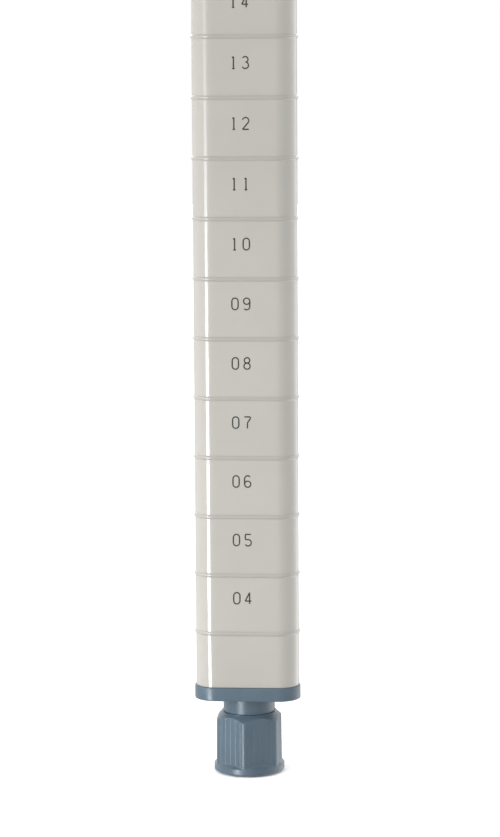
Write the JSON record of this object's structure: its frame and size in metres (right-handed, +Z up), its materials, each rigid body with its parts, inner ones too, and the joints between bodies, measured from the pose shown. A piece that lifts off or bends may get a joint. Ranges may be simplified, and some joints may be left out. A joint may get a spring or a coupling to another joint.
{
  "type": "shelving post end with levelling foot",
  "caption": "Beaded triangular shelving post end with a moulded plug, a ribbed hexagonal screw-in levelling foot and a swivelling sole.",
  "frame": {"origin": "centre of the sole's flat underside, on the post's axis", "axes": "+Z up along the post; -Y out of the flat that carries the printed figures"},
  "size_m": [0.0458, 0.0422, 0.3596],
  "materials": {
    "post_coat": "gloss",
    "blue_polymer": "satin",
    "zinc_steel": "satin",
    "spring_steel": "satin",
    "sole_polymer": "matte"
  },
  "bodies": {
    "sole": {"glide_disc": "sole_polymer"},
    "foot": {"foot_body": "blue_polymer", "leveling_stud": "zinc_steel", "stud_stop_ring": "spring_steel"},
    "post": {"post_tube": "post_coat", "post_cap": "blue_polymer", "end_plug": "blue_polymer", "threaded_bushing": "zinc_steel"}
  },
  "joints": [
    {"name": "foot_travel", "type": "slide", "parent": "sole", "child": "post", "axis": [0, 0, 1], "range_m": [0, 0.0254]},
    {"name": "foot_turn", "type": "hinge", "parent": "sole", "child": "foot", "pos_m": [0, 0, 0.015], "axis": [0, 0, -1], "range_deg": [0, 5760]}
  ],
  "couplings": [
    {"joint": "foot_turn", "follows": "foot_travel", "rad_per_m": 3957.9}
  ]
}
